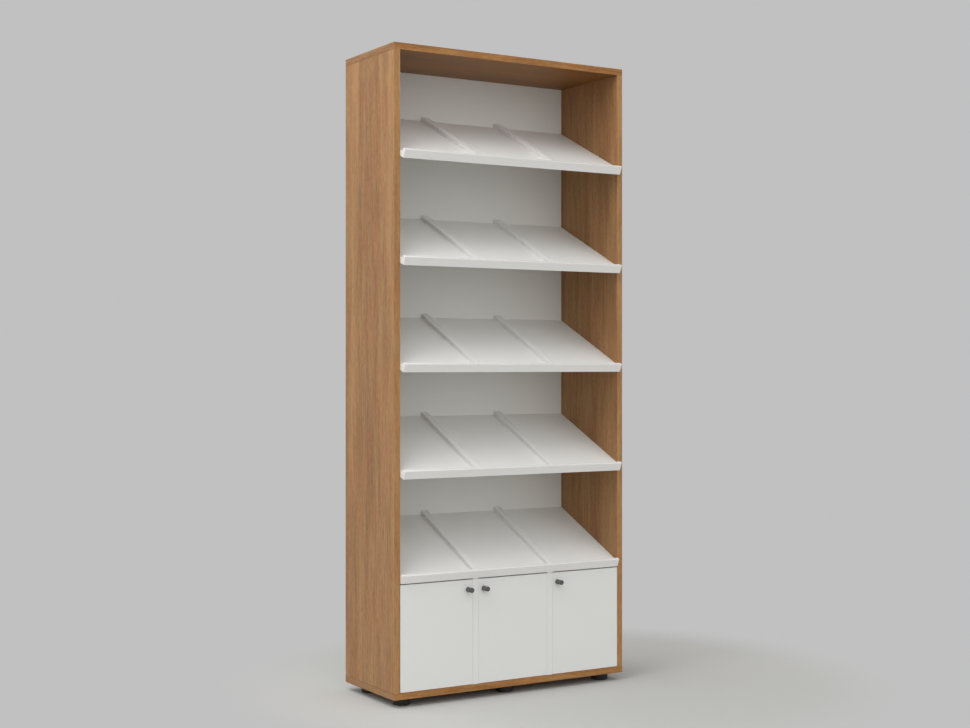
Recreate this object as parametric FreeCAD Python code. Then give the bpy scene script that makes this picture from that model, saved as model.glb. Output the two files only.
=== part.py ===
# Periodical display rack: a tall open carcass in wood-grain laminate with five
# sloping white display shelves, each with a front lip and two divider strips,
# over a cupboard of three inset doors on concealed hinges, on six round feet.
#
# Frame: millimetres, +Z up, +X to the right seen from the front, front facing -Y.
# The origin is on the floor, in the middle of the rack's overall width and depth.

import FreeCAD, Part
import math
import os
from FreeCAD import Placement, Rotation, Vector

# ---------------------------------------------------------------- carcass sizes
rack_width = 900.0
carcass_depth = 350.0
carcass_height = 2105.0
panel_thickness = 22.0
edge_band_thickness = 1.0
edge_rounding = 0.8

back_panel_thickness = 3.0
back_panel_rebate = 10.0          # how far the back panel reaches into each carcass panel

# ---------------------------------------------------------------- feet
foot_height = 27.0
foot_radius = 28.5
foot_rounding = 2.5
foot_inset_side = 57.0            # foot centre from the rack's side
foot_inset_front = 57.0
foot_inset_rear = 69.0
foot_screw_length = 30.0
foot_screw_seat = 12.0            # underside of the foot to the screw head's seat
foot_bore_clearance = 1.0         # around the screw head

# ---------------------------------------------------------------- sloping shelves
shelf_count = 5
shelf_angle = 25.0                # degrees down towards the front
highest_shelf_rear_drop = 161.4   # top panel to the shelf surface at the back panel
lowest_shelf_rear_height = 552.0  # carcass underside to the shelf surface at the back panel
shelf_thickness = 16.0
lip_thickness = 12.0
lip_rise = 13.0                   # how far the lip stands above the shelf surface
lip_rounding = 1.0
lip_end_rounding = 2.5            # the upright corners at both ends of the lip's front
lip_end_clearance = 0.3
upper_lip_overhang = 18.3         # bottom front corner of the lip, in front of the carcass
lowest_lip_overhang = 3.5         # the lowest lip only just stands out above the doors

divider_width = 24.0
divider_rise = 13.0
divider_rounding = 1.5
divider_offset = 148.0            # divider centre from the middle of the shelf

# ---------------------------------------------------------------- cupboard
partition_thickness = 22.0
door_thickness = 18.0
door_side_gap = 0.5
door_bottom_gap = 1.0
door_top_gap = 4.8
door_rounding = 0.2
door_relief = 0.8                 # the free edge leans back by this, so that it clears its frame
door_relief_start = 4.0           # depth at which the lean starts

knob_length = 29.3
knob_base_radius = 8.6
knob_waist_radius = 8.1
knob_head_radius = 8.3
knob_base_length = 4.0
knob_head_length = 6.5
knob_base_rounding = 2.0
knob_rounding = 2.0
knob_edge_inset = 18.5            # knob centre from the door's free edge
knob_top_inset = 32.0             # knob centre from the door's top
knob_screw_reach = 12.0           # length of the screw inside the knob
knob_screw_radius = 2.0

# ---------------------------------------------------------------- concealed hinges
# Plan places are (inset, depth): inset from the panel face that carries the
# hinge, depth behind the carcass front.
hinge_end_inset = 62.0            # hinge centre from the door's top and bottom

cup_radius = 17.5
cup_depth = 11.0
cup_wall = 1.0
cup_edge_distance = 5.5           # door edge to the cup
cup_flange_thickness = 1.0
cup_flange_radius = 19.5
cup_ear_radius = 5.5
cup_screw_spacing = 45.0
cup_screw_offset = 9.5            # screw line beyond the cup centre
cup_screw_length = 12.0
cup_boss_radius = 2.3
cup_boss_inset = 15.2             # bosses in the cup that the link's tip turns between
cup_boss_sink = 5.1               # boss inside the door's back face
cup_boss_clearance = 0.3

link_pivot_inset = 38.6
link_pivot_setback = 10.2         # link pivot behind the door's back face
link_bend_inset = 23.4
link_bend_sink = 6.4              # bend inside the door's back face
link_tip_inset = 17.1
link_tip_sink = 3.0
link_strip_thickness = 3.2
link_tip_radius = 2.6
link_eye_radius = 3.6
link_cheek_height = 2.0
link_pin_radius = 2.0
pivot_clearance = 0.06

arm_thickness = 7.0
arm_tip_height = 7.6
arm_base_height = 14.0
arm_cheek_clearance = 0.2
arm_elbow_inset = 30.0
arm_elbow_depth = 41.0
arm_rise_depth = 58.0             # depth at which the arm leaves the mounting plate
arm_rear_depth = 92.0
plate_base_thickness = 3.0
plate_rail_height = 8.0
plate_wing_depth = 64.0           # depth of the plate's screw line
plate_wing_half_width = 6.0
plate_wing_height = 46.0
plate_screw_spacing = 32.0
plate_screw_length = 14.0
arm_screw_depth = 80.0
arm_screw_length = 12.0

# ---------------------------------------------------------------- hidden fixings
fixing_clearance = 0.05
dowel_radius = 4.0
dowel_length = 34.0
dowel_in_face = 12.0              # dowel length inside the panel that is met by an edge
dowel_end_play = 1.0
carcass_dowel_count = 4
dowel_edge_inset = 45.0
partition_dowel_count = 3
shelf_dowel_insets = (70.0, 300.0)  # down the slope from the back panel
wood_screw_radius = 1.75
wood_screw_head_radius = 3.5
nail_radius = 0.8
nail_head_radius = 2.0
nail_head_thickness = 1.0
nail_length = 12.0
nail_pitch = 150.0
nail_inset = 5.0                  # nail line from the back panel's edge

# ---------------------------------------------------------------- derived places
slope = math.radians(shelf_angle)
slope_cos = math.cos(slope)
slope_sin = math.sin(slope)

half_width = rack_width / 2
inner_half_width = half_width - panel_thickness
lip_height = shelf_thickness + lip_rise
lip_reach = (upper_lip_overhang + lip_height * slope_sin
             - lip_rounding * (slope_cos + slope_sin - 1))
front_reach = max(lip_reach, knob_length)

front_y = (front_reach - carcass_depth) / 2
rear_y = front_y + carcass_depth
back_face_y = rear_y - back_panel_thickness
board_front_y = front_y + edge_band_thickness

base_z = foot_height
top_z = base_z + carcass_height
floor_board_z = base_z + panel_thickness
ceiling_z = top_z - panel_thickness

lowest_rear_z = base_z + lowest_shelf_rear_height
highest_rear_z = ceiling_z - highest_shelf_rear_drop
lowest_underside_rear_z = lowest_rear_z - shelf_thickness / slope_cos

bay_width = (2 * inner_half_width - 2 * partition_thickness) / 3
partition_centre = bay_width / 2 + partition_thickness / 2
partition_inner = partition_centre - partition_thickness / 2

door_width = bay_width - 2 * door_side_gap
door_bottom_z = floor_board_z + door_bottom_gap
door_top_z = (lowest_underside_rear_z - (back_face_y - front_y) * math.tan(slope)
              - door_top_gap)
hinge_heights = (door_bottom_z + hinge_end_inset, door_top_z - hinge_end_inset)

cup_centre_inset = door_side_gap + cup_edge_distance + cup_radius
door_back_depth = door_thickness
link_pivot = (link_pivot_inset, door_back_depth + link_pivot_setback)
link_bend = (link_bend_inset, door_back_depth - link_bend_sink)
link_tip = (link_tip_inset, door_back_depth - link_tip_sink)
plate_top_inset = plate_base_thickness + plate_rail_height
arm_centre_inset = plate_top_inset + arm_thickness / 2
link_half_height = arm_tip_height / 2 + arm_cheek_clearance + link_cheek_height

# door name: (face that carries the hinges, +1 if the door reaches to the right of it)
doors = {
    "left": (-inner_half_width, 1),
    "middle": (partition_inner, -1),
    "right": (inner_half_width, -1),
}


# ---------------------------------------------------------------- shape helpers
pick_slack = 0.01                 # for picking edges by their place


def block(x0, x1, y0, y1, z0, z1):
    corner = Vector(min(x0, x1), min(y0, y1), min(z0, z1))
    return Part.makeBox(abs(x1 - x0), abs(y1 - y0), abs(z1 - z0), corner)


def rod(radius, length, start, direction):
    return Part.makeCylinder(radius, length, Vector(*start), Vector(*direction))


def prism_along_x(outline, x0, x1):
    points = [Vector(x0, y, z) for y, z in outline]
    face = Part.Face(Part.makePolygon(points + points[:1]))
    return face.extrude(Vector(x1 - x0, 0, 0))


def rounded(shape, radius, keep_edge):
    edges = [edge for edge in shape.Edges if keep_edge(edge.BoundBox)]
    return shape.makeFillet(radius, edges)


def headed_pin(radius, length, head_radius, head_height, play=0.0):
    """A countersunk screw or nail along -Z, with its head's top at the origin."""
    shank = Part.makeCylinder(radius + play, length + play, Vector(0, 0, 0), Vector(0, 0, -1))
    head = Part.makeCone(head_radius + play, radius + play, head_height)
    head.rotate(Vector(0, 0, 0), Vector(1, 0, 0), 180)
    return shank.fuse(head).removeSplitter()


def aimed(shape, place, direction):
    """Stand a shape made along -Z at a place, pointing in a direction."""
    turned = shape.copy()
    turned.Placement = Placement(Vector(*place), Rotation(Vector(0, 0, -1), Vector(*direction)))
    return turned


def spread(first, last, count):
    return [first + (last - first) * i / (count - 1) for i in range(count)]


def save(name, *solids):
    shape = solids[0] if len(solids) == 1 else Part.makeCompound(list(solids))
    shape.exportStep("parts/" + name + ".step")


os.makedirs("parts", exist_ok=True)


# ---------------------------------------------------------------- fixing positions
dowel_rows = spread(front_y + dowel_edge_inset, rear_y - dowel_edge_inset, carcass_dowel_count)
partition_dowel_rows = spread(front_y + dowel_edge_inset, back_face_y - dowel_edge_inset,
                              partition_dowel_count)
side_centre = half_width - panel_thickness / 2

shelf_rear_heights = spread(highest_rear_z, lowest_rear_z, shelf_count)
shelf_overhangs = [upper_lip_overhang] * (shelf_count - 1) + [lowest_lip_overhang]


def slope_length(overhang):
    """Down the slope, from the back panel to the lip's front face."""
    return (back_face_y - front_y + overhang + shelf_thickness * slope_sin) / slope_cos


def on_slope(shape, rear_z):
    """Lay a shape, drawn with +Y up the slope and +Z off it, on a shelf's surface,
    and trim it flush with the back panel."""
    laid = shape.copy()
    laid.Placement = Placement(Vector(0, back_face_y, rear_z),
                               Rotation(Vector(1, 0, 0), shelf_angle))
    return laid.common(block(-rack_width, rack_width, front_y - carcass_depth, back_face_y,
                             0, top_z + carcass_depth))


def slope_place(rear_z, down, sunk):
    return (back_face_y - down * slope_cos + sunk * slope_sin,
            rear_z - down * slope_sin - sunk * slope_cos)


def carcass_dowels(play=0.0):
    """Upright dowels that join the top and bottom panels to the sides and partitions."""
    length = dowel_length - dowel_end_play + 2 * play
    reach = dowel_in_face - dowel_end_play / 2 + play
    low = floor_board_z - reach
    high = ceiling_z + reach
    dowels = []
    for x in (-side_centre, side_centre):
        for y in dowel_rows:
            dowels.append(rod(dowel_radius + play, length, (x, y, low), (0, 0, 1)))
            dowels.append(rod(dowel_radius + play, length, (x, y, high), (0, 0, -1)))
    for x in (-partition_centre, partition_centre):
        for y in partition_dowel_rows:
            dowels.append(rod(dowel_radius + play, length, (x, y, low), (0, 0, 1)))
    return dowels


def shelf_dowels(play=0.0):
    """Level dowels that carry each shelf board between the sides."""
    length = dowel_length - dowel_end_play + 2 * play
    outer_end = inner_half_width + dowel_in_face - dowel_end_play / 2 + play
    dowels = []
    for rear_z in shelf_rear_heights:
        for down in shelf_dowel_insets:
            y, z = slope_place(rear_z, down, shelf_thickness / 2)
            for side in (-1, 1):
                dowels.append(rod(dowel_radius + play, length,
                                  (side * outer_end, y, z), (-side, 0, 0)))
    return dowels


def foot_places():
    places = []
    for x in (-half_width + foot_inset_side, 0.0, half_width - foot_inset_side):
        for y in (front_y + foot_inset_front, rear_y - foot_inset_rear):
            places.append((x, y))
    return places


def foot_screws(play=0.0):
    screw = headed_pin(wood_screw_radius, foot_screw_length, wood_screw_head_radius,
                       wood_screw_head_radius - wood_screw_radius, play)
    return [aimed(screw, (x, y, foot_screw_seat), (0, 0, 1)) for x, y in foot_places()]


def back_nails(play=0.0):
    """Nails through the back panel's edge into the rebate of each carcass panel."""
    nail = headed_pin(nail_radius, nail_length, nail_head_radius, nail_head_thickness, play)
    reach_x = inner_half_width + back_panel_rebate - nail_inset
    low = floor_board_z - back_panel_rebate + nail_inset
    high = ceiling_z + back_panel_rebate - nail_inset
    places = []
    for z in spread(low, high, 2 + round((high - low) / nail_pitch)):
        places += [(-reach_x, z), (reach_x, z)]
    for x in spread(-reach_x, reach_x, 2 + round(2 * reach_x / nail_pitch))[1:-1]:
        places += [(x, low), (x, high)]
    return [aimed(nail, (x, rear_y, z), (0, -1, 0)) for x, z in places]


def cut_by(shape, tools):
    """Cut a shape by those tools that reach into it."""
    touching = [tool for tool in tools if tool.BoundBox.intersect(shape.BoundBox)]
    return shape.cut(touching) if touching else shape


# ---------------------------------------------------------------- concealed hinge
def hinge_point(door, place, z):
    """World place of a plan point (inset, depth) of a door's hinges."""
    face_x, toward = doors[door]
    return (face_x + toward * place[0], front_y + place[1], z)


def strip(door, places, thickness, z0, z1):
    """A bent strip that stands on edge and follows plan points, with rounded bends."""
    solid = None
    for start, end in zip(places, places[1:]):
        a = Vector(*hinge_point(door, start, z0))
        b = Vector(*hinge_point(door, end, z0))
        side = Vector(-(b - a).y, (b - a).x, 0).normalize() * (thickness / 2)
        corners = [a + side, b + side, b - side, a - side]
        leg = Part.Face(Part.makePolygon(corners + corners[:1])).extrude(Vector(0, 0, z1 - z0))
        solid = leg if solid is None else solid.fuse(leg)
    for place in places[1:-1]:
        solid = solid.fuse(rod(thickness / 2, z1 - z0, hinge_point(door, place, z0), (0, 0, 1)))
    return solid.removeSplitter()


def cup_screws(door, play=0.0):
    screw = headed_pin(wood_screw_radius, cup_screw_length, wood_screw_head_radius,
                       wood_screw_head_radius - wood_screw_radius, play)
    place = (cup_centre_inset + cup_screw_offset, door_back_depth + cup_flange_thickness)
    return [aimed(screw, hinge_point(door, place, z + step), (0, -1, 0))
            for z in hinge_heights for step in (-cup_screw_spacing / 2, cup_screw_spacing / 2)]


def cup_bosses(door, z):
    """Two bosses that stand on the cup's wall, one beyond each cheek of the link."""
    place = (cup_boss_inset, door_back_depth - cup_boss_sink)
    off_centre = cup_centre_inset - cup_boss_inset
    wall = math.sqrt((cup_radius - cup_wall / 2) ** 2 - (off_centre + cup_boss_radius) ** 2)
    start = link_half_height + cup_boss_clearance
    return [rod(cup_boss_radius, wall - start, hinge_point(door, place, z + way * start),
                (0, 0, way)) for way in (-1, 1)]


def hinge_cup(door, z):
    """Pressed steel cup with its flange on the door's back face."""
    centre = (cup_centre_inset, door_back_depth - cup_depth)
    shell = rod(cup_radius, cup_depth, hinge_point(door, centre, z), (0, 1, 0))
    flange_place = (cup_centre_inset, door_back_depth)
    flange = rod(cup_flange_radius, cup_flange_thickness, hinge_point(door, flange_place, z),
                 (0, 1, 0))
    ear_inset = cup_centre_inset + cup_screw_offset
    for step in (-cup_screw_spacing / 2, cup_screw_spacing / 2):
        ear = rod(cup_ear_radius, cup_flange_thickness,
                  hinge_point(door, (ear_inset, door_back_depth), z + step), (0, 1, 0))
        near = hinge_point(door, (ear_inset - cup_ear_radius, door_back_depth), z)
        far = hinge_point(door, (ear_inset + cup_ear_radius, door_back_depth), z)
        neck = block(near[0], far[0], near[1], near[1] + cup_flange_thickness, z, z + step)
        flange = flange.fuse([ear, neck])
    hollow_floor = (cup_centre_inset, door_back_depth - cup_depth + cup_wall)
    hollow = rod(cup_radius - cup_wall, cup_depth + cup_flange_thickness,
                 hinge_point(door, hollow_floor, z), (0, 1, 0))
    cup = shell.fuse(flange).removeSplitter().cut(hollow).fuse(cup_bosses(door, z))
    return cut_by(cup.removeSplitter(), cup_screws(door, fixing_clearance))


def hinge_link(door, z):
    """Two cheeks beside the arm's tip, joined by a web inside the cup."""
    gap = link_half_height - link_cheek_height
    cheeks = []
    for z0, z1 in ((z - link_half_height, z - gap), (z + gap, z + link_half_height)):
        cheek = strip(door, [link_pivot, link_bend, link_tip], link_strip_thickness, z0, z1)
        eye = rod(link_eye_radius, link_cheek_height, hinge_point(door, link_pivot, z0), (0, 0, 1))
        tip = rod(link_tip_radius, link_cheek_height, hinge_point(door, link_tip, z0), (0, 0, 1))
        hole = rod(link_pin_radius, link_cheek_height, hinge_point(door, link_pivot, z0), (0, 0, 1))
        cheeks.append(cheek.fuse([eye, tip]).cut(hole))
    web = strip(door, [link_bend, link_tip], link_strip_thickness, z - gap, z + gap)
    return cheeks[0].fuse([cheeks[1], web]).removeSplitter()


def link_pin(door, z):
    return rod(link_pin_radius, 2 * link_half_height,
               hinge_point(door, link_pivot, z - link_half_height), (0, 0, 1))


def arm_screws(door, play=0.0):
    screw = headed_pin(wood_screw_radius, arm_screw_length, wood_screw_head_radius,
                       wood_screw_head_radius - wood_screw_radius, play)
    toward = doors[door][1]
    place = (plate_top_inset + arm_thickness, arm_screw_depth)
    return [aimed(screw, hinge_point(door, place, z), (-toward, 0, 0)) for z in hinge_heights]


def hinge_arm(door, z):
    """Cranked arm from the mounting plate to the link's pivot."""
    elbow = (arm_elbow_inset, arm_elbow_depth)
    rise = (arm_centre_inset, arm_rise_depth)
    rear = (arm_centre_inset, arm_rear_depth)
    half_base = arm_base_height / 2
    half_tip = arm_tip_height / 2
    base = strip(door, [rear, rise, elbow], arm_thickness, z - half_base, z + half_base)
    tip = strip(door, [rise, elbow, link_pivot], arm_thickness, z - half_tip, z + half_tip)
    nose = rod(link_eye_radius, arm_tip_height,
               hinge_point(door, link_pivot, z - half_tip), (0, 0, 1))
    bore = rod(link_pin_radius + pivot_clearance, arm_base_height,
               hinge_point(door, link_pivot, z - half_base), (0, 0, 1))
    arm = base.fuse([tip, nose]).removeSplitter().cut(bore)
    return cut_by(arm, arm_screws(door, fixing_clearance))


def plate_screws(door, play=0.0):
    screw = headed_pin(wood_screw_radius, plate_screw_length, wood_screw_head_radius,
                       wood_screw_head_radius - wood_screw_radius, play)
    toward = doors[door][1]
    place = (plate_base_thickness, plate_wing_depth)
    return [aimed(screw, hinge_point(door, place, z + step), (-toward, 0, 0))
            for z in hinge_heights for step in (-plate_screw_spacing / 2, plate_screw_spacing / 2)]


def mounting_plate(door, z):
    """Cross-shaped plate: a wing with two screws and a rail that the arm lies on."""
    x0, y0, _ = hinge_point(door, (0, plate_wing_depth - plate_wing_half_width), z)
    x1, y1, _ = hinge_point(door, (plate_base_thickness, plate_wing_depth + plate_wing_half_width),
                            z)
    wing = block(x0, x1, y0, y1, z - plate_wing_height / 2, z + plate_wing_height / 2)
    x1, y1, _ = hinge_point(door, (plate_top_inset, arm_rear_depth), z)
    rail = block(x0, x1, y0, y1, z - arm_base_height / 2, z + arm_base_height / 2)
    plate = wing.fuse(rail).removeSplitter()
    plate = cut_by(plate, plate_screws(door, fixing_clearance))
    return cut_by(plate, arm_screws(door, fixing_clearance))


# ---------------------------------------------------------------- carcass panels
all_plate_screws = [screw for door in doors for screw in plate_screws(door)]
all_plate_screw_holes = [hole for door in doors for hole in plate_screws(door, fixing_clearance)]
dowel_holes = carcass_dowels(fixing_clearance)
shelf_dowel_holes = shelf_dowels(fixing_clearance)
nail_holes = back_nails(fixing_clearance)
foot_screw_holes = foot_screws(fixing_clearance)

back_reach_x = inner_half_width + back_panel_rebate
back_low_z = floor_board_z - back_panel_rebate
back_high_z = ceiling_z + back_panel_rebate
back_sheet = block(-back_reach_x, back_reach_x, back_face_y, rear_y, back_low_z, back_high_z)
save("back_panel", cut_by(back_sheet, nail_holes))
save("back_panel_nails", *back_nails())

for name, side in (("left", -1), ("right", 1)):
    panel = block(side * inner_half_width, side * half_width, board_front_y, rear_y,
                  floor_board_z, ceiling_z)
    panel = panel.cut(back_sheet)
    holes = dowel_holes + shelf_dowel_holes + nail_holes + all_plate_screw_holes
    save(name + "_side_panel", cut_by(panel, holes))
    band = block(side * inner_half_width, side * half_width, front_y, board_front_y,
                 floor_board_z, ceiling_z)
    band = rounded(band, edge_rounding,
                   lambda box: box.YMax < front_y + pick_slack and box.ZLength > panel_thickness)
    save(name + "_side_edge_band", band)


def banded_panel(z0, z1):
    """A full-width top or bottom board, with edge bands on its front and both ends."""
    board = block(-half_width + edge_band_thickness, half_width - edge_band_thickness,
                  board_front_y, rear_y, z0, z1)
    front = block(-half_width, half_width, front_y, board_front_y, z0, z1)
    front = rounded(front, edge_rounding, lambda box: box.YMax < front_y + pick_slack)
    ends = [block(side * (half_width - edge_band_thickness), side * half_width,
                  board_front_y, rear_y, z0, z1) for side in (-1, 1)]
    holes = dowel_holes + nail_holes + foot_screw_holes
    return cut_by(board.cut(back_sheet), holes), [front] + ends


for name, z0, z1 in (("top", ceiling_z, top_z), ("bottom", base_z, floor_board_z)):
    board, bands = banded_panel(z0, z1)
    save(name + "_panel", board)
    save(name + "_panel_edge_bands", *bands)

save("wooden_dowels", *carcass_dowels(), *shelf_dowels())


# ---------------------------------------------------------------- cupboard partitions
def partition(centre, y0, y1):
    """An upright board with its top cut to the lowest shelf's slope."""
    def underside(y):
        return lowest_underside_rear_z - (back_face_y - y) * math.tan(slope)

    outline = [(y0, floor_board_z), (y1, floor_board_z), (y1, underside(y1)), (y0, underside(y0))]
    return prism_along_x(outline, centre - partition_thickness / 2,
                         centre + partition_thickness / 2)


partition_bands = []
for name, centre in (("left", -partition_centre), ("right", partition_centre)):
    board = partition(centre, board_front_y, back_face_y)
    save(name + "_partition", cut_by(board, dowel_holes + all_plate_screw_holes))
    partition_bands.append(partition(centre, front_y, board_front_y))
save("partition_edge_bands", *partition_bands)


# ---------------------------------------------------------------- display shelves
# Boards and dividers are drawn one board thickness past the back panel.
def shelf_board(rear_z, overhang):
    front = lip_thickness - slope_length(overhang)
    board = block(-inner_half_width, inner_half_width, front, shelf_thickness,
                  -shelf_thickness, 0)
    return cut_by(on_slope(board, rear_z), shelf_dowel_holes)


def shelf_lip(rear_z, overhang):
    front = -slope_length(overhang)
    reach = inner_half_width - lip_end_clearance
    lip = block(-reach, reach, front, front + lip_thickness, -shelf_thickness, lip_rise)
    lip = rounded(lip, lip_end_rounding,
                  lambda box: box.YMax < front + pick_slack and box.XLength < reach)
    lip = rounded(lip, lip_rounding,
                  lambda box: box.XLength > reach
                  and (box.YMax < front + pick_slack or box.ZMin > lip_rise - pick_slack))
    return on_slope(lip, rear_z)


def shelf_divider(rear_z, overhang, centre):
    front = lip_thickness - slope_length(overhang)
    divider = block(centre - divider_width / 2, centre + divider_width / 2, front,
                    shelf_thickness, 0, divider_rise)
    divider = rounded(divider, divider_rounding,
                      lambda box: box.ZMin > divider_rise - pick_slack and box.YLength > divider_width)
    return on_slope(divider, rear_z)


for number, (rear_z, overhang) in enumerate(zip(shelf_rear_heights, shelf_overhangs), 1):
    save("shelf_board_%d" % number, shelf_board(rear_z, overhang))
    save("shelf_lip_%d" % number, shelf_lip(rear_z, overhang))
    save("shelf_dividers_%d" % number,
         *[shelf_divider(rear_z, overhang, x) for x in (-divider_offset, divider_offset)])


# ---------------------------------------------------------------- doors, knobs, hinges
def knob_place(door):
    inset = door_side_gap + door_width - knob_edge_inset
    return hinge_point(door, (inset, 0), door_top_z - knob_top_inset)


def knob_screw(door, play=0.0):
    screw = headed_pin(knob_screw_radius, door_thickness + knob_screw_reach,
                       wood_screw_head_radius, wood_screw_head_radius - knob_screw_radius, play)
    x, _, z = knob_place(door)
    return aimed(screw, (x, front_y + door_thickness, z), (0, -1, 0))


def door_leaf(door):
    far_inset = door_side_gap + door_width
    outline = [(door_side_gap, 0), (far_inset, 0), (far_inset, door_relief_start),
               (far_inset - door_relief, door_thickness), (door_side_gap, door_thickness)]
    corners = [Vector(*hinge_point(door, place, door_bottom_z)) for place in outline]
    leaf = Part.Face(Part.makePolygon(corners + corners[:1])).extrude(
        Vector(0, 0, door_top_z - door_bottom_z))
    leaf = rounded(leaf, door_rounding, lambda box: box.YMax < front_y + pick_slack)
    floor = (cup_centre_inset, door_back_depth - cup_depth)
    pockets = [rod(cup_radius + fixing_clearance, cup_depth, hinge_point(door, floor, z),
                   (0, 1, 0)) for z in hinge_heights]
    return leaf.cut(pockets + cup_screws(door, fixing_clearance)
                    + [knob_screw(door, fixing_clearance)])


def knob(door):
    """Turned knob with a slight waist and two rounded ends, drilled for its screw."""
    head_start = knob_length - knob_head_length
    base_bend = knob_base_rounding * (1 - math.sqrt(0.5))
    head_bend = knob_rounding * (1 - math.sqrt(0.5))
    centre = Vector(0, 0, 0)
    foot_edge = Vector(knob_base_radius - knob_base_rounding, 0, 0)
    foot_middle = Vector(knob_base_radius - base_bend, 0, base_bend)
    foot_rim = Vector(knob_base_radius, 0, knob_base_rounding)
    base_rim = Vector(knob_base_radius, 0, knob_base_length)
    waist = Vector(knob_waist_radius, 0, (knob_base_length + head_start) / 2)
    head_rim = Vector(knob_head_radius, 0, head_start)
    head_edge = Vector(knob_head_radius, 0, knob_length - knob_rounding)
    head_middle = Vector(knob_head_radius - head_bend, 0, knob_length - head_bend)
    face_edge = Vector(knob_head_radius - knob_rounding, 0, knob_length)
    tip = Vector(0, 0, knob_length)
    outline = Part.Wire([
        Part.makeLine(centre, foot_edge),
        Part.Arc(foot_edge, foot_middle, foot_rim).toShape(),
        Part.makeLine(foot_rim, base_rim),
        Part.Arc(base_rim, waist, head_rim).toShape(),
        Part.makeLine(head_rim, head_edge),
        Part.Arc(head_edge, head_middle, face_edge).toShape(),
        Part.makeLine(face_edge, tip),
        Part.makeLine(tip, centre),
    ])
    solid = Part.makeSolid(Part.Face(outline).revolve(centre, Vector(0, 0, 1), 360))
    x, y, z = knob_place(door)
    solid.Placement = Placement(Vector(x, y, z), Rotation(Vector(0, 0, 1), Vector(0, -1, 0)))
    return solid.cut(knob_screw(door, fixing_clearance))


for door in doors:
    save(door + "_door", door_leaf(door))
    save(door + "_knob", knob(door))
    save(door + "_knob_screw", knob_screw(door))
    save(door + "_hinge_cups", *[hinge_cup(door, z) for z in hinge_heights])
    save(door + "_cup_screws", *cup_screws(door))
    save(door + "_hinge_links", *[hinge_link(door, z) for z in hinge_heights])
    save(door + "_link_pins", *[link_pin(door, z) for z in hinge_heights])
    save(door + "_hinge_arms", *[hinge_arm(door, z) for z in hinge_heights])
    save(door + "_mounting_plates", *[mounting_plate(door, z) for z in hinge_heights])

save("mounting_plate_screws", *all_plate_screws)
save("hinge_arm_screws", *[screw for door in doors for screw in arm_screws(door)])


# ---------------------------------------------------------------- feet
def foot(x, y):
    body = rod(foot_radius, foot_height, (x, y, 0), (0, 0, 1))
    body = rounded(body, foot_rounding, lambda box: box.ZMax < foot_height / 2)
    head_room = rod(wood_screw_head_radius + foot_bore_clearance, foot_screw_seat,
                    (x, y, 0), (0, 0, 1))
    return cut_by(body.cut(head_room), foot_screw_holes)


save("feet", *[foot(x, y) for x, y in foot_places()])
save("foot_screws", *foot_screws())
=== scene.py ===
# A tall periodical rack: a walnut-look laminate carcass with five sloping white
# display shelves over a cupboard of three white doors, on six round feet.
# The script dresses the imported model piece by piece, in the order of assembly.
# Metres, +Z up, +X to the right seen from the front, which faces -Y.

import math

import bpy
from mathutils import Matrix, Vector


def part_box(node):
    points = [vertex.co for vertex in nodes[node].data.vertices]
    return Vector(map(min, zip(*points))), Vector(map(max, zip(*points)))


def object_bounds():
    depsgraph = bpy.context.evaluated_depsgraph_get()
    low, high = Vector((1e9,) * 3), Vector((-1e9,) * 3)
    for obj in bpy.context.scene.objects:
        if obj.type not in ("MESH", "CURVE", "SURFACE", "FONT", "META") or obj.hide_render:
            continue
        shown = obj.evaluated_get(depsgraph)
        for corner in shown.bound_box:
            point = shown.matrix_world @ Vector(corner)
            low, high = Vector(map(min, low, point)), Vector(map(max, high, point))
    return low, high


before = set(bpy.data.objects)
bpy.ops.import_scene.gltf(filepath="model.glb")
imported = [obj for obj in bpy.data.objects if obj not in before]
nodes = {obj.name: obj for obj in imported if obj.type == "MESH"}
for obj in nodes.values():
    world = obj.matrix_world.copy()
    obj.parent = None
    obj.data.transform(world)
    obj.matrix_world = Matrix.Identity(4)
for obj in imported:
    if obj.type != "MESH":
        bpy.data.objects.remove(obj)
cad_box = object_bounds()


# ------------------------------------------------------------------ camera
# A level long-lens view from the front left, at about half the rack's height.
# The small shift keeps the horizon where a level camera has it.
camera_place = (-2.7677, -4.5314, 1.0993)
camera_heading = 31.29
camera_lens = 57.44
camera_shift_up = 0.0011

bpy.ops.object.camera_add(location=camera_place,
                          rotation=(math.radians(90), 0, math.radians(-camera_heading)))
camera = bpy.context.object
camera.name = "camera"
camera.data.lens = camera_lens
camera.data.sensor_width = 36.0
camera.data.sensor_fit = "HORIZONTAL"
camera.data.shift_y = camera_shift_up
camera.data.clip_end = 50.0
bpy.context.scene.camera = camera


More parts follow.
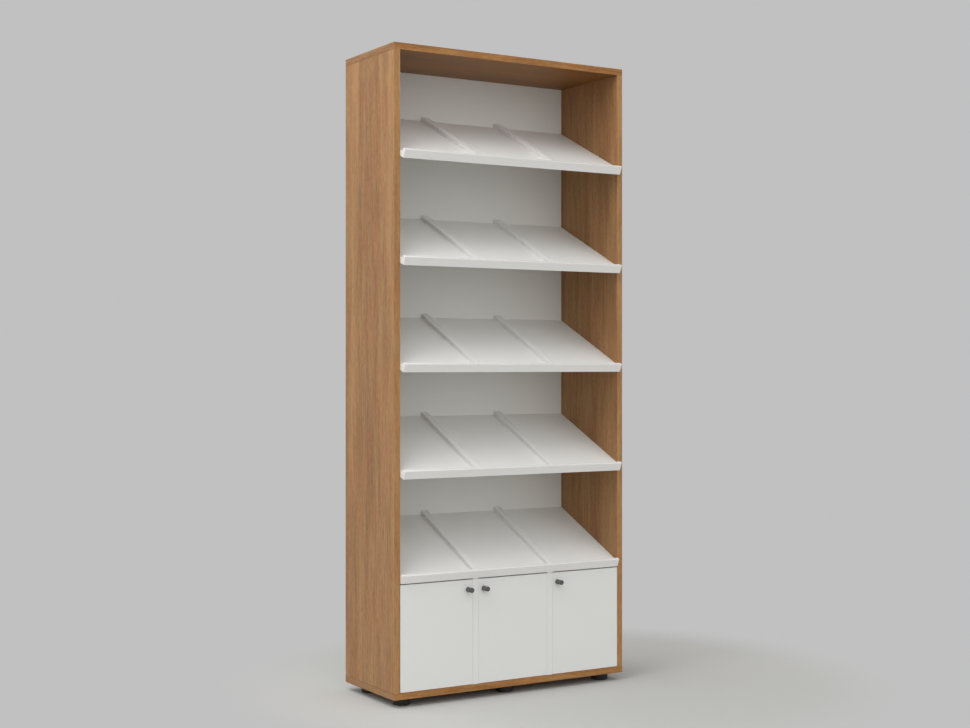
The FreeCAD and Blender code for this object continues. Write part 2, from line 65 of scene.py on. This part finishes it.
# ------------------------------------------------------------------ carcass boards
# Particle board faced with a printed walnut-look laminate, its grain running the
# length of each board. The rear edges are left as sawn, so the core shows there.
class Wire:
    """One socket of a finish. Arithmetic on it adds Math nodes, node() adds any other."""

    def __init__(self, tree, socket=None):
        self.tree = tree
        self.socket = socket

    def node(self, kind, settings=None, inputs=None, output=0):
        made = self.tree.nodes.new(kind)
        for name, value in (settings or {}).items():
            setattr(made, name, value)
        for name, value in (inputs or {}).items():
            if isinstance(value, Wire):
                self.tree.links.new(value.socket, made.inputs[name])
            else:
                made.inputs[name].default_value = value
        return Wire(self.tree, made.outputs[output])

    def math(self, operation, *values):
        return self.node("ShaderNodeMath", {"operation": operation}, dict(enumerate(values)))

    def __add__(self, other):
        return self.math("ADD", self, other)

    def __radd__(self, other):
        return self.math("ADD", other, self)

    def __sub__(self, other):
        return self.math("SUBTRACT", self, other)

    def __rsub__(self, other):
        return self.math("SUBTRACT", other, self)

    def __mul__(self, other):
        return self.math("MULTIPLY", self, other)

    def __rmul__(self, other):
        return self.math("MULTIPLY", other, self)

    def step(self, low, high):
        """0 below low, 1 above high, and smooth between them."""
        return self.node("ShaderNodeMapRange", {"interpolation_type": "SMOOTHSTEP"},
                         {"Value": self, "From Min": low, "From Max": high})

    def mix(self, low, high):
        """A colour between two colours, by this factor."""
        return self.node("ShaderNodeMix", {"data_type": "RGBA"},
                         {"Factor": self, "A": low, "B": high}, output="Result")


def tone(red, green, blue):
    """A colour given in 0 to 255 as on a screen, for a shader's socket."""
    linear = []
    for part in (red, green, blue):
        share = part / 255
        linear.append(share / 12.92 if share <= 0.04045 else ((share + 0.055) / 1.055) ** 2.4)
    return (*linear, 1.0)


def finish(name):
    """A new material, with the wire of its object coordinates and its shader."""
    material = bpy.data.materials.new(name)
    material.use_nodes = True
    place = Wire(material.node_tree).node("ShaderNodeTexCoord", output="Object")
    return material, place, material.node_tree.nodes["Principled BSDF"]


def wire_to(shader, name, wire):
    wire.tree.links.new(wire.socket, shader.inputs[name])


def stretched(place, stretch):
    return place.node("ShaderNodeVectorMath", {"operation": "MULTIPLY"},
                      {0: place, 1: stretch})


def noise(place, scale, detail=2.0, roughness=0.5):
    return place.node("ShaderNodeTexNoise", output="Fac", inputs={
        "Vector": place, "Scale": scale, "Detail": detail, "Roughness": roughness})


def relief(height, depth):
    """A surface normal bumped to that depth in metres, from a height of 0 to 1."""
    return height.node("ShaderNodeBump", inputs={
        "Height": height, "Distance": depth, "Strength": 1.0}, output="Normal")


def drawn_out(place, along, share):
    """Coordinates in which a pattern comes out 1/share times as long along one axis."""
    shrink = [1.0, 1.0, 1.0]
    shrink[along] = share
    return stretched(place, shrink)


def grain(place, along, figure_width):
    """Wood grain along one axis: (tone 0 to 1, redness 0 to 1, pores 0 to 1).
    Its layers run from the broad figure down to flecks, fibres and pores."""
    sway = figure_width * 0.6
    flecks_per_metre, fibres_per_metre, pores_per_metre = 210.0, 1100.0, 1700.0
    wander = noise(drawn_out(place, along, 0.15), 0.3 / figure_width, 1.0)
    swayed = place.node("ShaderNodeVectorMath", {"operation": "MULTIPLY_ADD"},
                        {0: wander, 1: (sway, sway, sway), 2: place})
    figure = noise(drawn_out(swayed, along, 0.05), 1 / figure_width, 1.0)
    streak = noise(drawn_out(swayed, along, 0.075), 2.2 / figure_width, 2.0)
    line = noise(drawn_out(swayed, along, 0.07), 7.0 / figure_width, 2.0)
    fleck = noise(drawn_out(place, along, 0.30), flecks_per_metre, 2.0)
    fibre = noise(drawn_out(place, along, 0.09), fibres_per_metre, 3.0, 0.6)
    pores = noise(drawn_out(place, along, 0.09), pores_per_metre, 2.0, 0.4).step(0.60, 0.72)
    value = (0.5 + (figure - 0.5) * 1.50 + (streak - 0.5) * 1.20 + (line - 0.5) * 1.35
             + (fleck - 0.5) * 1.30 + (fibre - 0.5) * 0.35 - pores * 0.10)
    redness = noise(drawn_out(swayed, along, 0.12), 2.4 / figure_width, 2.0)
    return value, redness.step(0.3, 0.7), pores


def walnut(name, along, figure_width, dark, light, gloss, ends=None):
    """A printed walnut look, its grain along one axis, that shifts from olive to red.
    Further out along X than ends start, the grain runs along Y in the ends' own tones."""
    tint = 1.9                          # how far the tone leans to olive and to red
    pore_depth = 0.00003
    material, place, shader = finish(name)
    if ends:
        end_start, end_dark, end_light = ends
        x, y, z = (place.node("ShaderNodeSeparateXYZ", inputs={"Vector": place}, output=axis)
                   for axis in "XYZ")
        turned = x.node("ShaderNodeCombineXYZ", inputs={"X": y, "Y": x, "Z": z})
        at_end = x.math("GREATER_THAN", x.math("ABSOLUTE", x), end_start)
        place = at_end.node("ShaderNodeMix", {"data_type": "VECTOR"},
                            {"Factor": at_end, "A": place, "B": turned}, output="Result")
    value, redness, pores = grain(place, along, figure_width)

    def shifted(colour, shift):
        return tone(colour[0] + shift, colour[1] - shift, colour[2] - shift)

    def toned(shift):
        low, high = shifted(dark, shift), shifted(light, shift)
        if ends:
            low = at_end.mix(low, shifted(end_dark, shift))
            high = at_end.mix(high, shifted(end_light, shift))
        return value.mix(low, high)

    olive, red = toned(-tint), toned(tint)
    wire_to(shader, "Base Color", redness.mix(olive, red))
    wire_to(shader, "Roughness", gloss + (value - 0.5) * 0.10 + pores * 0.05)
    wire_to(shader, "Normal", relief(1 - pores, pore_depth))
    shader.inputs["Specular IOR Level"].default_value = 0.25
    return material


def wear(material, *names):
    """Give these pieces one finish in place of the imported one."""
    for name in names:
        for material_slot in nodes[name].material_slots:
            material_slot.material = material


along_x, along_z = 0, 2
upright_board = walnut("walnut_laminate_upright", along_z, figure_width=0.065,
                       dark=(138, 97, 62), light=(169, 128, 86), gloss=0.46)
level_board = walnut("walnut_laminate_level", along_x, figure_width=0.065,
                     dark=(121, 78, 41), light=(150, 105, 57), gloss=0.46)


def paint_joint_line_and_shade(material, low, high):
    """Darken the laminate at both ends, where a board butts against the next one: partly the
    dark core of the cut laminate, partly painted shade of the fine gap between the boards.
    """
    width, strength = 0.0016, 0.75
    tree = material.node_tree
    shader = tree.nodes["Principled BSDF"]
    faced = Wire(tree, shader.inputs["Base Color"].links[0].from_socket)
    place = faced.node("ShaderNodeTexCoord", output="Object")
    height = place.node("ShaderNodeSeparateXYZ", inputs={"Vector": place}, output="Z")
    # Painted shade of the joint gap, with the dark core line: a dark band at the top and the
    # bottom of the board.
    edge = height.step(high - width, high) + (1 - height.step(low, low + width))
    wire_to(shader, "Base Color", (edge * strength).mix(faced, tone(84, 56, 34)))


def show_sawn_core(material, rear):
    """Let the particle board show on the edge that lies on the rear plane."""
    chips_per_metre, flecks_per_metre = 520.0, 900.0
    tree = material.node_tree
    shader = tree.nodes["Principled BSDF"]
    faced = Wire(tree, shader.inputs["Base Color"].links[0].from_socket)
    place = faced.node("ShaderNodeTexCoord", output="Object")
    depth = place.node("ShaderNodeSeparateXYZ", inputs={"Vector": place}, output="Y")
    chips = place.node("ShaderNodeTexVoronoi", output="Distance",
                       inputs={"Vector": place, "Scale": chips_per_metre})
    flecks = noise(place, flecks_per_metre, 3.0, 0.6)
    core = (chips * 0.9 + (flecks - 0.5) * 0.9).mix(tone(206, 174, 128), tone(132, 100, 66))
    wire_to(shader, "Base Color", depth.step(rear - 0.0004, rear - 0.0003).mix(faced, core))


side_low, side_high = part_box("left_side_panel")
# The dark lines at the top and bottom of the side panels are partly painted shade, partly the
# laminate's dark core.
paint_joint_line_and_shade(upright_board, side_low[2], side_high[2])
rear_plane = side_high[1]
for material in (upright_board, level_board):
    show_sawn_core(material, rear_plane)
wear(upright_board, "left_side_panel", "right_side_panel")
wear(level_board, "top_panel", "bottom_panel")


# ------------------------------------------------------------------ carcass edge bands
# Walnut-look bands, 1 mm thick, glued on the front edges and on the ends of the top
# and bottom boards. They are printed a little more orange, with the grain lengthways.
band_thickness = 0.001
upright_band = walnut("walnut_band_upright", along_z, figure_width=0.030,
                      dark=(151, 108, 67), light=(174, 132, 87), gloss=0.44)
level_band = walnut("walnut_band_level", along_x, figure_width=0.030,
                    dark=(142, 95, 51), light=(173, 125, 73), gloss=0.44,
                    ends=(cad_box[1][0] - band_thickness, (128, 88, 56), (155, 116, 77)))
wear(upright_band, "left_side_edge_band", "right_side_edge_band")
wear(level_band, "top_panel_edge_bands", "bottom_panel_edge_bands")


# ------------------------------------------------------------------ dowels
# Turned beech dowels, hidden in the joints of the carcass, the partitions and the
# shelves.
def beech():
    material, place, shader = finish("beech_dowel")
    value, _, pores = grain(place, along_x, figure_width=0.012)
    wire_to(shader, "Base Color", value.mix(tone(186, 148, 104), tone(216, 182, 138)))
    wire_to(shader, "Roughness", 0.6 + pores * 0.1)
    return material


wear(beech(), "wooden_dowels")


# ------------------------------------------------------------------ feet
# Moulded black plastic discs with a fine matt texture, one screw through each.
def moulded_plastic(name, colour, gloss_low, gloss_high, texture_size, texture_depth):
    """Plastic with the fine spark-eroded texture of its mould."""
    darker, lighter = 0.93, 1.07
    material, place, shader = finish(name)
    texture = noise(place, 1 / texture_size, 3.0, 0.6)
    cloud = noise(place, 40.0, 2.0)
    wire_to(shader, "Base Color", cloud.mix(tone(*[part * darker for part in colour]),
                                            tone(*[part * lighter for part in colour])))
    wire_to(shader, "Roughness", gloss_low + cloud * (gloss_high - gloss_low))
    wire_to(shader, "Normal", relief(texture, texture_depth))
    return material


foot_black = moulded_plastic("black_foot_plastic", (26, 25, 23), gloss_low=0.50,
                             gloss_high=0.62, texture_size=0.0011, texture_depth=0.00006)
wear(foot_black, "feet")


# ------------------------------------------------------------------ back panel
# White lacquered hardboard sheet, nailed into the rebate from behind. The lacquer
# is thin, so the pressed fibres stay just visible.
def lacquered_hardboard():
    fibres_per_metre = 700.0
    material, place, shader = finish("white_hardboard")
    fibres = noise(place, fibres_per_metre, 4.0, 0.65)
    cloud = noise(place, 3.0, 2.0)
    wire_to(shader, "Base Color", cloud.mix(tone(226, 226, 222), tone(230, 230, 226)))
    wire_to(shader, "Roughness", 0.5 + (fibres - 0.5) * 0.12)
    wire_to(shader, "Normal", relief(fibres, 0.00004))
    return material


wear(lacquered_hardboard(), "back_panel")


# ------------------------------------------------------------------ nails and screws
# Zinc-plated steel: panel nails, and countersunk screws in the feet, hinges and knobs.
def plated_steel(name, low, high, gloss_low, gloss_high, streak_size):
    material, place, shader = finish(name)
    streak = noise(stretched(place, (1.0, 1.0, 0.2)), 1 / streak_size, 3.0, 0.6)
    cloud = noise(place, 90.0, 2.0)
    wire_to(shader, "Base Color", cloud.mix(tone(*low), tone(*high)))
    wire_to(shader, "Roughness", gloss_low + streak * (gloss_high - gloss_low))
    wire_to(shader, "Normal", relief(streak, 0.00001))
    shader.inputs["Metallic"].default_value = 1.0
    return material


zinc = plated_steel("zinc_plated_steel", (178, 180, 184), (206, 207, 208),
                    gloss_low=0.28, gloss_high=0.46, streak_size=0.0008)
wear(zinc, "back_panel_nails", "foot_screws", "mounting_plate_screws", "hinge_arm_screws")
doors = ("left", "middle", "right")
for door in doors:
    wear(zinc, door + "_cup_screws", door + "_knob_screw", door + "_link_pins")


# ------------------------------------------------------------------ white boards
# Shelf boards, cupboard partitions and doors: board faced with satin white melamine,
# which has a faint pearl texture from the press plate.
def white_board(name, colour, gloss, texture_size, texture_depth):
    drift = 1.5                         # how far the white strays either way
    material, place, shader = finish(name)
    pearl = noise(place, 1 / texture_size, 2.0, 0.5)
    cloud = noise(place, 4.0, 2.0)
    wire_to(shader, "Base Color", cloud.mix(tone(*[part - drift for part in colour]),
                                            tone(*[part + drift for part in colour])))
    wire_to(shader, "Roughness", gloss + (pearl - 0.5) * 0.10)
    wire_to(shader, "Normal", relief(pearl, texture_depth))
    shader.inputs["Specular IOR Level"].default_value = 0.4
    return material


melamine = white_board("white_melamine", (222, 222, 220), gloss=0.42,
                       texture_size=0.0016, texture_depth=0.000025)
wear(melamine, "left_partition", "right_partition", "partition_edge_bands")
wear(melamine, *[door + "_door" for door in doors])
# The shelves' copy of the white is lighter than that of the doors and partitions: painted light
# from above, on the same melamine.
shelf_melamine_painted_lighter = white_board("white_shelf_melamine_painted_lighter", (232, 232, 229), gloss=0.42,
                             texture_size=0.0016, texture_depth=0.000025)
shelf_numbers = range(1, 6)
wear(shelf_melamine_painted_lighter, *["shelf_board_%d" % number for number in shelf_numbers])


# ------------------------------------------------------------------ lips and dividers
# Sprayed white mouldings: a lip along the front of each shelf and two strips on it.
sprayed = white_board("white_sprayed_moulding", (231, 230, 228), gloss=0.24,
                      texture_size=0.0028, texture_depth=0.00001)
for number in shelf_numbers:
    wear(sprayed, "shelf_lip_%d" % number, "shelf_dividers_%d" % number)


# ------------------------------------------------------------------ hinges
# Concealed hinges of nickel-plated pressed steel, two on each door.
nickel = plated_steel("nickel_plated_steel", (186, 183, 176), (206, 203, 196),
                      gloss_low=0.22, gloss_high=0.38, streak_size=0.0012)
for door in doors:
    wear(nickel, door + "_hinge_cups", door + "_hinge_links", door + "_hinge_arms",
         door + "_mounting_plates")


# ------------------------------------------------------------------ knobs
# Turned knobs in dark grey satin plastic, one near the free corner of each door.
knob_grey = moulded_plastic("dark_grey_knob", (82, 82, 81), gloss_low=0.36,
                            gloss_high=0.46, texture_size=0.0007, texture_depth=0.00002)
wear(knob_grey, *[door + "_knob" for door in doors])


# ------------------------------------------------------------------ floor and backdrop
# A pale grey studio floor. Away from the rack it fades into the plain backdrop.
backdrop_grey = (193, 193, 193)
floor_grey = (195, 195, 192)
floor_size = 30.0
fade_middle = (0.27, -0.04, 0.0)
fade_start = 0.8
fade_end = 1.2


def shows_backdrop(wire):
    """1 for a ray from the camera, a glossy surface or glass, 0 for the rest."""
    camera_ray, glossy_ray, glass_ray = (
        wire.node("ShaderNodeLightPath", output="Is %s Ray" % kind)
        for kind in ("Camera", "Glossy", "Transmission"))
    mirrored = glossy_ray.math("MAXIMUM", glossy_ray, glass_ray)
    return camera_ray.math("MAXIMUM", camera_ray, mirrored)


bpy.ops.mesh.primitive_plane_add(size=floor_size)
floor = bpy.context.object
floor.name = "studio_floor"

floor_material, place, shader = finish("studio_floor")
wire_to(shader, "Base Color", noise(place, 2.0).mix(tone(*[part - 1 for part in floor_grey]),
                                                    tone(*[part + 1 for part in floor_grey])))
shader.inputs["Roughness"].default_value = 0.8
shader.inputs["Specular IOR Level"].default_value = 0.2
distance = place.node("ShaderNodeVectorMath", {"operation": "DISTANCE"},
                      {0: place, 1: fade_middle}, "Value")
backdrop = place.node("ShaderNodeEmission", inputs={"Color": tone(*backdrop_grey)})
lit_floor = Wire(place.tree, shader.outputs["BSDF"])
shown = place.node("ShaderNodeMixShader", inputs={
    0: distance.step(fade_start, fade_end) * shows_backdrop(place), 1: lit_floor, 2: backdrop})
surface = place.tree.nodes["Material Output"].inputs["Surface"]
place.tree.links.new(shown.socket, surface)
floor.data.materials.append(floor_material)


# ------------------------------------------------------------------ light
# A pale dome with broad brighter patches in front, on the left and behind on the left,
# and one broad soft lamp high on the left.
dome_level = 0.342
dome_patches = [                        # degrees left of the front, degrees up, strength
    (0, 8, 0.43), (0, 45, 0.68), (30, 20, 0.58), (90, 20, 0.28), (135, 35, 1.06)]
patch_sharpness = 4.0
lamp_place = (-2.4, -0.8, 3.95)
lamp_target = (0.0, 0.0, 1.1)
lamp_size = 2.6
lamp_power = 56.0

world = bpy.context.scene.world or bpy.data.worlds.new("dome")
bpy.context.scene.world = world
world.use_nodes = True
dome = Wire(world.node_tree)
toward = dome.node("ShaderNodeTexCoord", output="Generated")
strength = dome_level
for leftward, upward, brightness in dome_patches:
    turn, rise = math.radians(leftward), math.radians(upward)
    middle = (-math.sin(turn) * math.cos(rise), -math.cos(turn) * math.cos(rise), math.sin(rise))
    near = toward.node("ShaderNodeVectorMath", {"operation": "DOT_PRODUCT"},
                       {0: toward, 1: middle}, "Value")
    near = near.math("MAXIMUM", near, 0.0)
    strength = strength + near.math("POWER", near, patch_sharpness) * brightness
world_light = dome.node("ShaderNodeBackground", inputs={
    "Color": (1.0, 1.0, 1.0, 1.0), "Strength": strength})
world_seen = dome.node("ShaderNodeBackground", inputs={"Color": tone(*backdrop_grey)})
world_mix = dome.node("ShaderNodeMixShader", inputs={
    0: shows_backdrop(dome), 1: world_light, 2: world_seen})
world_output = world.node_tree.nodes["World Output"].inputs["Surface"]
world.node_tree.links.new(world_mix.socket, world_output)

aim = [target - start for start, target in zip(lamp_place, lamp_target)]
heading = math.atan2(-aim[0], aim[1])
tilt = math.acos(-aim[2] / math.sqrt(sum(part * part for part in aim)))
bpy.ops.object.light_add(type="AREA", location=lamp_place, rotation=(tilt, 0, heading))
lamp = bpy.context.object
lamp.name = "soft_lamp"
lamp.data.shape = "DISK"
lamp.data.size = lamp_size
lamp.data.energy = lamp_power

bpy.context.scene.view_settings.view_transform = "Standard"
